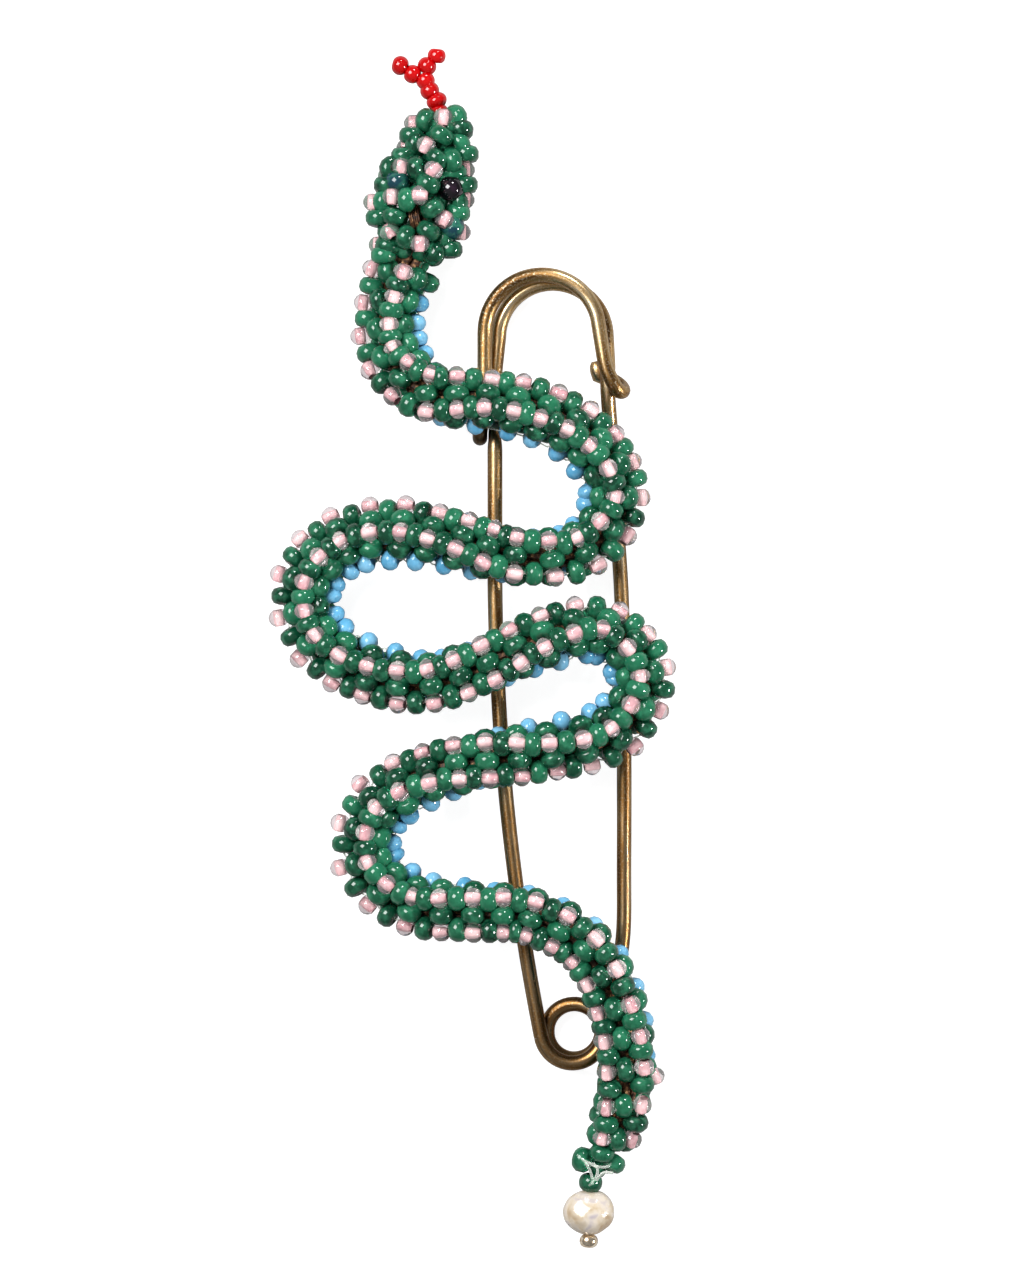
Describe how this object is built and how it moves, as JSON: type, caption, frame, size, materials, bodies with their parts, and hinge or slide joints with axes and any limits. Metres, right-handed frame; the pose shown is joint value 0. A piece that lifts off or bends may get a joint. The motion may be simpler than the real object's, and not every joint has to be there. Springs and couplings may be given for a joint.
{
  "type": "beaded brooch",
  "caption": "Snake brooch woven from small glass seed beads, winding over a brass kilt pin, with a forked bead tongue, a broad head and a pearl hanging from its tail.",
  "frame": {"origin": "centre of the bounding box on the surface that the brooch lies on", "axes": "+Y from the pearl to the tongue, +Z out of the brooch's face, +X to the right as seen from the front"},
  "size_m": [0.0379, 0.1124, 0.0095],
  "materials": {
    "antique_brass": "aged, drawn wire with a soft sheen",
    "green_glass": "opaque glossy glass; the weave also holds pink-lined clear and sky-blue opaque beads",
    "dark_glass": "polished, nearly black purple glass",
    "red_glass": "opaque glossy glass",
    "clear_thread": "clear monofilament",
    "pearl": "cream nacre with a soft lustre",
    "gold_bead": "polished"
  },
  "bodies": {
    "brooch": {"pin_frame": "antique_brass", "pin_coil": "antique_brass", "snake_body": "green_glass", "snake_head": "green_glass", "eye_front": "dark_glass", "eye_back": "dark_glass", "tongue_thread": "clear_thread", "tongue_bead_1": "red_glass", "tongue_bead_2": "red_glass", "tongue_bead_3": "red_glass", "tongue_bead_4": "red_glass", "tongue_bead_5": "red_glass", "tongue_bead_6": "red_glass", "tongue_bead_7": "red_glass", "tongue_bead_8": "red_glass", "tail_thread": "clear_thread", "tail_bead": "green_glass", "pearl": "pearl", "end_bead": "gold_bead"},
    "needle": {"pin_needle": "antique_brass"}
  },
  "joints": [
    {"name": "needle_swing", "type": "hinge", "parent": "brooch", "child": "needle", "pos_m": [0.0092, -0.0357, 0.0014], "axis": [-0.7071, 0, -0.7071], "range_deg": [0, 22], "stiffness_Nm_per_rad": 0.02, "springref_deg": -20.05, "deforming": ["pin_coil"]}
  ]
}
